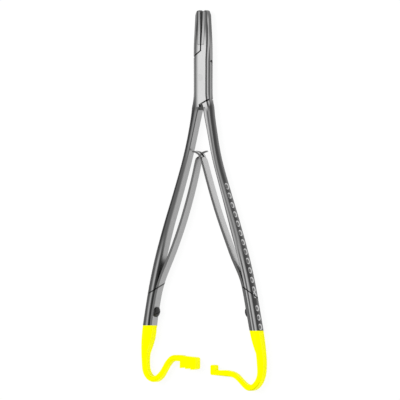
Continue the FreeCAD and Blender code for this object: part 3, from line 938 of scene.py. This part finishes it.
@dataclass(frozen=True)
class LeafSpring:
    """A leaf spring: thick on its seat, thin at its crossed, forked or tongued tip."""

    node: str
    side: Side
    seat: Tuple[PlanPoint, ...]
    run: Tuple[PlanPoint, ...]
    forked: bool
    thickness: float = 1.4
    tip_thickness: float = 0.75
    width: float = 5.2
    tip_width: float = 4.8
    tongue: float = 1.3
    fork: float = 1.7
    narrow_end: float = -41.7
    shoulder_depth: float = 1.2
    shoulder_length: float = 1.6
    overlap_rings: int = 2
    foot_share: float = 0.3
    edge: float = 0.16
    rings: int = 240
    weld: float = 0.0005 * MM
    corner_deg: float = 40.0

    def build(self, material: bpy.types.Material) -> bpy.types.Object:
        """Build the spring and dress it.

        Args:
            material: Its finish.

        Returns:
            The new piece.
        """
        mesh = self._mesh()
        piece = bpy.data.objects.new(mesh.name, mesh)
        bpy.context.scene.collection.objects.link(piece)
        mark_faces(piece)
        mesh.materials.append(material)
        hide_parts(self.node)
        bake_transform(piece)
        LOG.info("%s: %d faces", piece.name, len(mesh.polygons))
        return piece

    def _profile(self, places: np.ndarray, progress: np.ndarray) -> Tuple[np.ndarray, np.ndarray]:
        """Half thickness and half width of each ring.

        Both go from the seat's to the tip's with the cube of the way along the
        run. The foot is thinner still, and below the narrow end the width is
        rounded off with the square of the way to it.

        Args:
            places: Plan places of the rings.
            progress: Each ring's count of given points from the first.

        Returns:
            The half thicknesses and the half widths, in millimetres.
        """
        share = np.clip((progress - len(self.seat)) / (len(self.run) - 1), 0, 1) ** 3
        halves = (self.thickness + share * (self.tip_thickness - self.thickness)) / 2
        halves *= np.clip(self.foot_share + progress * (1 - self.foot_share), 0, 1)
        reach = (self.width + share * (self.tip_width - self.width)) / 2
        near = np.clip(1 + (places[:, 1] - self.narrow_end) / self.shoulder_length, 0, 1)
        reach -= np.where(places[:, 1] < self.narrow_end, self.shoulder_depth * near ** 2, 0)
        return halves, reach

    def _strips(self, places: np.ndarray,
                reach: np.ndarray) -> List[Tuple[np.ndarray, np.ndarray, np.ndarray]]:
        """The blade and its tongue or prongs, which overlap it by a few rings.

        Args:
            places: Plan places of the rings.
            reach: Half width of each ring.

        Returns:
            For each strip, which rings it has, and their lows and highs.
        """
        full = places[:, 1] < self.narrow_end
        rest = np.roll(~full, -self.overlap_rings) | ~full
        rest[:self.overlap_rings] = False
        low, high = MIDDLE - reach, MIDDLE + reach
        if self.forked:
            spans = [(low, np.full_like(reach, MIDDLE - self.fork / 2)),
                     (np.full_like(reach, MIDDLE + self.fork / 2), high)]
        else:
            spans = [(np.full_like(reach, MIDDLE - self.tongue / 2),
                      np.full_like(reach, MIDDLE + self.tongue / 2))]
        return [(full, low, high)] + [(rest, *span) for span in spans]

    def _mesh(self) -> bpy.types.Mesh:
        """The spring's mesh: closed strips along one smooth course.

        Returns:
            The mesh, in metres.
        """
        places, directions, progress = smooth_course(self.seat + self.run, self.rings)
        halves, reach = self._profile(places, progress)
        vertices: List[np.ndarray] = []
        faces: List[np.ndarray] = []
        for chosen, lows, highs in self._strips(places, reach):
            spots, quads = strip(places[chosen], directions[chosen], halves[chosen], lows[chosen],
                                 highs[chosen], self.edge)
            faces.append(quads + sum(len(part) for part in vertices))
            vertices.append(spots)
        mesh = bpy.data.meshes.new(f"{self.node}_finished")
        mesh.from_pydata((np.concatenate(vertices) * MM).tolist(), [], np.concatenate(faces).tolist())
        work = bmesh.new()
        work.from_mesh(mesh)
        bmesh.ops.remove_doubles(work, verts=work.verts, dist=self.weld)
        bmesh.ops.recalc_face_normals(work, faces=work.faces)
        work.to_mesh(mesh)
        work.free()
        mesh.shade_smooth()
        mesh.set_sharp_from_angle(angle=radians(self.corner_deg))
        return mesh


@dataclass
class CopiedPiece:
    """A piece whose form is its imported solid's, with softened edges."""

    node: str
    side: Side
    slot: str
    edge_width: float = 0.1 * MM
    corner_deg: float = 12.0

    def build(self, material: bpy.types.Material) -> bpy.types.Object:
        """Build the piece, dress it and hang it on its side.

        Args:
            material: Its finish.

        Returns:
            The new piece.
        """
        piece = welded_copy(self.node, f"{self.node}_finished")
        mark_faces(piece)
        if self.slot == "limb_steel":
            Handle().mark(piece)
        soften_edges(piece, self.edge_width, self.corner_deg)
        piece.data.materials.append(material)
        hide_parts(self.node)
        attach(piece, self.side.value)
        LOG.info("%s: %d faces", piece.name, len(piece.data.polygons))
        return piece


@dataclass
class Instrument:
    """The whole needle holder, piece by piece."""

    # The stops of each handle top are painted reflection bands of highlight and shade.
    left_steel: ForgedSteel = ForgedSteel(
        "left_limb_steel",
        plating_end=LEFT_PLATING_END,
        neck_levels=((0.0, 110), (0.2, 44), (0.44, 58), (0.58, 118), (0.78, 150), (0.92, 66), (1.0, 84)),
        grip_levels=((0.0, 100), (0.16, 50), (0.32, 52), (0.46, 100), (0.7, 96), (0.85, 104), (1.0, 150)),
        foot_levels=((0.0, 120), (0.1, 90), (0.36, 78), (0.5, 142), (0.64, 184), (0.78, 66), (0.92, 38),
                     (1.0, 60)),
        dark_line=LEFT_DARK_LINE,
    )
    right_steel: ForgedSteel = ForgedSteel(
        "right_limb_steel",
        plating_end=RIGHT_PLATING_END,
        neck_levels=((0.0, 130), (0.13, 150), (0.3, 84), (0.46, 150), (0.6, 200), (0.8, 196), (0.9, 110),
                     (1.0, 76)),
        grip_levels=((0.0, 90), (0.14, 150), (0.26, 150), (0.38, 104), (0.55, 148), (0.72, 186), (0.84, 120),
                     (1.0, 72)),
        foot_levels=((0.0, 58), (0.12, 75), (0.22, 168), (0.42, 188), (0.5, 88), (0.68, 90), (0.78, 186),
                     (0.9, 180), (0.97, 100)),
        dark_line=RIGHT_DARK_LINE,
    )
    # Each spring's and insert's face and edge grey levels are painted light and shade.
    left_spring_steel: PlainSteel = PlainSteel("left_spring_steel", 168, 112, 0.3, LEFT_DARK_LINE,
                                               plating_end=LEFT_PLATING_END)
    right_spring_steel: PlainSteel = PlainSteel("right_spring_steel", 196, 104, 0.3, RIGHT_DARK_LINE,
                                                plating_end=RIGHT_PLATING_END)
    screw_steel: PlainSteel = PlainSteel("screw_steel", 62, 60, 0.2)
    rivet_steel: PlainSteel = PlainSteel("rivet_steel", 212, 216, 0.34)
    insert_metal: PlainSteel = PlainSteel("insert_metal", 80, 196, 0.3, tip_share=0.6)
    left_spring: LeafSpring = LeafSpring(
        "left_leaf_spring",
        Side.BOX,
        seat=((-31.72, -133.8), (-31.51, -130.2), (-30.71, -124.5), (-29.26, -117.0), (-28.34, -113.0)),
        run=((-26.0, -106.0), (-21.3, -96.0), (-16.55, -85.5), (-12.35, -75.0), (-8.75, -64.5),
             (-5.6, -54.0), (-3.6, -46.2), (-2.3, -41.9), (-1.2, -40.2), (0.4, -39.3), (2.7, -38.7)),
        forked=False,
    )
    right_spring: LeafSpring = LeafSpring(
        "right_leaf_spring",
        Side.THROUGH,
        seat=((31.5, -134.4), (31.03, -130.2), (29.87, -124.5), (28.34, -117.0), (27.47, -113.0)),
        run=((25.5, -106.0), (20.6, -96.0), (15.9, -85.5), (11.5, -75.0), (7.55, -64.5),
             (4.0, -54.0), (1.5, -46.2), (-0.1, -42.0), (-1.4, -40.2), (-3.2, -39.2), (-5.4, -38.8)),
        forked=True,
    )

    def build(self) -> List[bpy.types.Object]:
        """Build every piece in order.

        Returns:
            The new pieces.
        """
        left_spring = self.left_spring_steel.material()
        right_spring = self.right_spring_steel.material()
        screw = self.screw_steel.material()
        insert = self.insert_metal.material()
        rivet = self.rivet_steel.material()
        return [
            CopiedPiece("box_limb", Side.BOX, "limb_steel").build(self.left_steel.material()),
            CopiedPiece("through_limb", Side.THROUGH, "limb_steel").build(self.right_steel.material()),
            CopiedPiece("pivot_rivet", Side.BOX, "rivet_steel", edge_width=0.03 * MM).build(rivet),
            CopiedPiece("right_jaw_insert", Side.BOX, "jaw_insert", edge_width=0.05 * MM).build(insert),
            CopiedPiece("left_jaw_insert", Side.THROUGH, "jaw_insert", edge_width=0.05 * MM).build(insert),
            self.left_spring.build(left_spring),
            self.right_spring.build(right_spring),
            CopiedPiece("left_spring_screw", Side.BOX, "screw_steel", corner_deg=30.0).build(screw),
            CopiedPiece("right_spring_screw", Side.THROUGH, "screw_steel", corner_deg=30.0).build(screw),
        ]


@dataclass
class Studio:
    """Pale floor, soft light and a long-lens camera square to the handles."""

    pixel: float = 0.52466 * MM
    frame_pixels: int = 400
    pivot_column: float = 202.7
    pivot_row: float = 77.0
    swing_deg: float = VIEW_SWING_DEG
    middle_height: float = MIDDLE * MM
    lens_mm: float = 1600.0
    sensor_mm: float = 36.0
    floor_half: float = 3.0
    floor_grey: Tuple[float, float, float, float] = (0.8, 0.8, 0.8, 1.0)
    floor_glow: float = 1.02
    shadow_share: float = 0.12
    room_ends: Span = (0.3, 0.85)
    horizon_deg: float = 96.0
    horizon_half_deg: float = 26.0
    horizon_soft_deg: float = 18.0
    darkening: float = 0.55
    room_light: float = 0.55
    lamp_aim: Point = (0.0, -64.0 * MM, 0.0)

    def build(self) -> None:
        """Make the floor, the world, the lamps and the camera."""
        self._floor()
        self._world()
        self._lamp("key", place=(-0.55, 0.25, 0.9), size=0.7, power=9.0)
        self._lamp("fill", place=(0.75, -0.35, 0.8), size=0.8, power=5.0)
        self._camera()

    def _rays(self, graph: Graph, first: str, *others: str) -> Value:
        """1 for rays of the kinds that are named.

        Args:
            graph: The nodes that read it.
            first: One kind of ray.
            others: More kinds.

        Returns:
            The mask.
        """
        paths = graph.node("ShaderNodeLightPath").outputs
        share = Value(graph, paths[f"Is {first} Ray"])
        for kind in others:
            share = share.highest(Value(graph, paths[f"Is {kind} Ray"]))
        return share

    def _floor(self) -> None:
        """Square white floor that shows white and keeps a faint shadow."""
        half = self.floor_half
        mesh = bpy.data.meshes.new("floor")
        corners = [(-half, -half, 0.0), (half, -half, 0.0), (half, half, 0.0), (-half, half, 0.0)]
        mesh.from_pydata(corners, [], [(0, 1, 2, 3)])
        floor = bpy.data.objects.new("floor", mesh)
        bpy.context.scene.collection.objects.link(floor)
        material = bpy.data.materials.new("white_floor")
        material.use_nodes = True
        graph = Graph(material.node_tree)
        matt = graph.node("ShaderNodeBsdfDiffuse", {}, {"Color": self.floor_grey})
        glow = graph.node("ShaderNodeEmission", {}, {"Color": WHITE, "Strength": self.floor_glow})
        share = self._rays(graph, "Camera", "Glossy", "Transmission") * (1.0 - self.shadow_share)
        mixed = graph.node("ShaderNodeMixShader", {}, {0: share, 1: matt.outputs[0], 2: glow.outputs[0]})
        graph.node("ShaderNodeOutputMaterial", {}, {"Surface": mixed.outputs[0]})
        mesh.materials.append(material)

    def _world(self) -> None:
        """White room that metal mirrors with darker ends and a darker right horizon."""
        world = bpy.data.worlds.new("studio")
        bpy.context.scene.world = world
        world.use_nodes = True
        graph = Graph(world.node_tree)
        direction = graph.node("ShaderNodeTexCoord").outputs["Generated"]
        parts = graph.node("ShaderNodeSeparateXYZ", inputs={0: direction}).outputs
        lean = Value(graph, parts[0]).angle_from(Value(graph, parts[2])) * (180 / np.pi)
        ends = Value(graph, parts[1]).absolute().rise(self.room_ends)
        horizon = (lean - self.horizon_deg).band(self.horizon_half_deg, self.horizon_soft_deg)
        ceiling = 1.0 - self.darkening * ends.highest(horizon)
        glossy = self._rays(graph, "Glossy")
        plain = self._rays(graph, "Camera", "Transmission")
        others = self.room_light + (1.0 - self.room_light) * plain
        strength = glossy * ceiling + (1.0 - glossy) * others
        shader = graph.node("ShaderNodeBackground", {}, {"Color": WHITE, "Strength": strength})
        graph.node("ShaderNodeOutputWorld", {}, {"Surface": shader.outputs[0]})

    def _lamp(self, name: str, place: Point, size: float, power: float) -> None:
        """Square soft lamp aimed at the middle of the handles.

        Args:
            name: Name of the lamp.
            place: Where it stands in metres.
            size: Its side in metres.
            power: Its power in watts.
        """
        data = bpy.data.lights.new(name, "AREA")
        data.shape = "SQUARE"
        data.size = size
        data.energy = power
        lamp = bpy.data.objects.new(name, data)
        bpy.context.scene.collection.objects.link(lamp)
        lamp.location = place
        lamp.visible_glossy = False
        target = Vector(self.lamp_aim)
        lamp.rotation_euler = (target - lamp.location).to_track_quat("-Z", "Y").to_euler()

    def _camera(self) -> None:
        """Camera swung to the right about the long axis, with +Y up in the picture."""
        swing = radians(self.swing_deg)
        across = Vector((cos(swing), 0.0, -sin(swing)))
        towards = Vector((sin(swing), 0.0, cos(swing)))
        middle = (self.frame_pixels - 1) / 2
        target = Vector((0.0, 0.0, self.middle_height))
        target += across * ((middle - self.pivot_column) * self.pixel)
        target += Vector((0.0, (self.pivot_row - middle) * self.pixel, 0.0))
        distance = self.frame_pixels * self.pixel * self.lens_mm / self.sensor_mm
        data = bpy.data.cameras.new("camera")
        data.lens = self.lens_mm
        data.sensor_width = self.sensor_mm
        camera = bpy.data.objects.new("camera", data)
        bpy.context.scene.collection.objects.link(camera)
        camera.matrix_world = Matrix((
            (across.x, 0.0, towards.x, target.x + towards.x * distance),
            (across.y, 1.0, towards.y, target.y + towards.y * distance),
            (across.z, 0.0, towards.z, target.z + towards.z * distance),
            (0.0, 0.0, 0.0, 1.0),
        ))
        bpy.context.scene.camera = camera


def main() -> None:
    """Build the instrument and its studio, and note the sizes."""
    logging.basicConfig(level=logging.INFO, format="%(name)s: %(message)s")
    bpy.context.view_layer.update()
    Studio().build()
    pieces = Instrument().build()
    LOG.info("%d pieces", len(pieces))
    bpy.context.scene.view_settings.view_transform = "Standard"


if __name__ == "__main__":
    main()
